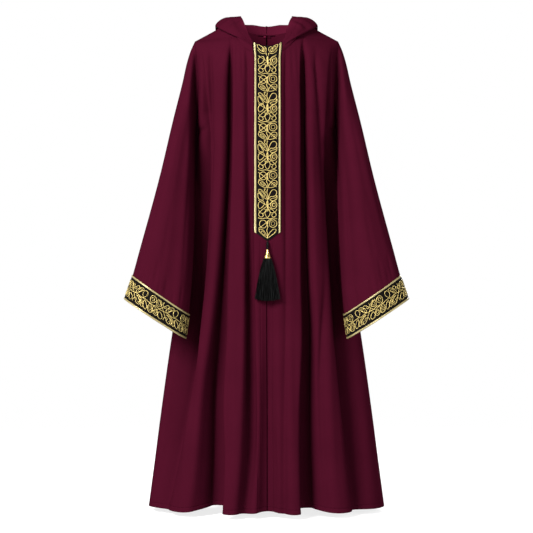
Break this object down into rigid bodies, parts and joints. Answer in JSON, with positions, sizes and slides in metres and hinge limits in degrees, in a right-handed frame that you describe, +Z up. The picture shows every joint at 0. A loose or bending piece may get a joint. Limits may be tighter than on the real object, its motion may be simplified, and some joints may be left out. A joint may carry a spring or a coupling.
{
  "type": "abaya",
  "caption": "Full-length hooded abaya with wide sleeves, a banded front placket with a hanging tassel, and banded cuffs, hollow and filled out as if worn.",
  "frame": {"origin": "Midway between the two shoulders at the height of the high shoulder point, inside the neck opening, where a wearer or a bust holds the garment.", "axes": "+Z up, the front faces -Y, +X to the right as a viewer sees the front."},
  "size_m": [0.8346, 0.394, 1.4576],
  "materials": {
    "wine_crepe": "matt crepe",
    "black_band": "matt",
    "gold_braid": "metallic thread",
    "black_silk": "silky",
    "gold_metal": "polished"
  },
  "bodies": {
    "root": {"front_left": "wine_crepe", "front_right": "wine_crepe", "back_left": "wine_crepe", "back_right": "wine_crepe", "sleeve_left": "wine_crepe", "sleeve_right": "wine_crepe", "hood_left": "wine_crepe", "hood_right": "wine_crepe", "neck_button": "wine_crepe", "neck_loop": "wine_crepe", "placket": "black_band", "cuff_left": "black_band", "cuff_right": "black_band", "placket_braid_left": "gold_braid", "placket_braid_right": "gold_braid", "cuff_braid_upper_left": "gold_braid", "cuff_braid_upper_right": "gold_braid", "cuff_braid_lower_left": "gold_braid", "cuff_braid_lower_right": "gold_braid", "tassel_cord": "black_silk", "tassel": "black_silk", "tassel_cap": "gold_metal"}
  },
  "joints": []
}
